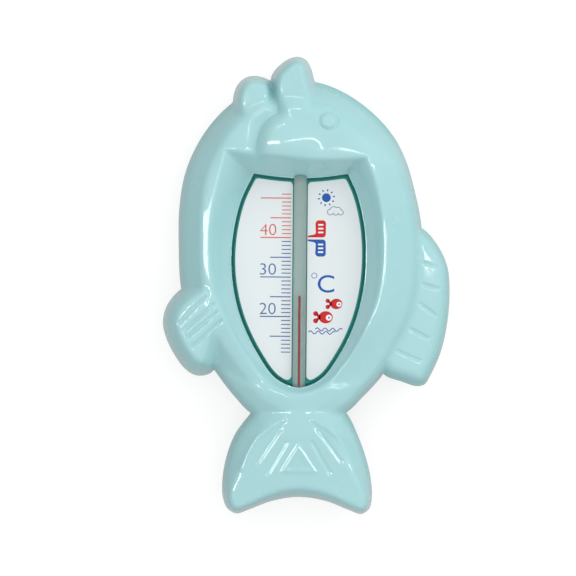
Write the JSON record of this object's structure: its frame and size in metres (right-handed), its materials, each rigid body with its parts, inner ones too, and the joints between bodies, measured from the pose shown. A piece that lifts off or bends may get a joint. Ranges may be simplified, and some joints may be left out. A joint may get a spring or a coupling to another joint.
{
  "type": "baby bath thermometer",
  "caption": "Fish-shaped floating bath thermometer: two moulded shells, a window with white scale cards and a glass spirit tube running from mouth to tail.",
  "frame": {"origin": "on the flat back face of the rear shell, under the axis of the tube and the middle of the window's height; the part lies on that face as it rests", "axes": "+X to the fish's back fin, +Y from tail to mouth along the tube, +Z from the flat back to the viewer"},
  "size_m": [0.0943, 0.1505, 0.0269],
  "materials": {
    "front_shell": "glossy moulded aqua plastic",
    "rear_shell": "glossy moulded aqua plastic",
    "scale_carrier": "semi-gloss moulded aqua plastic, in shade",
    "scale_card_left": "satin white printed film",
    "scale_card_right": "satin white printed film",
    "glass_tube": "clear drawn glass",
    "spirit_column": "dyed red spirit"
  },
  "bodies": {
    "root": {"front_shell": "front_shell", "rear_shell": "rear_shell", "scale_carrier": "scale_carrier", "scale_card_left": "scale_card_left", "scale_card_right": "scale_card_right", "glass_tube": "glass_tube", "spirit_column": "spirit_column"}
  },
  "joints": []
}
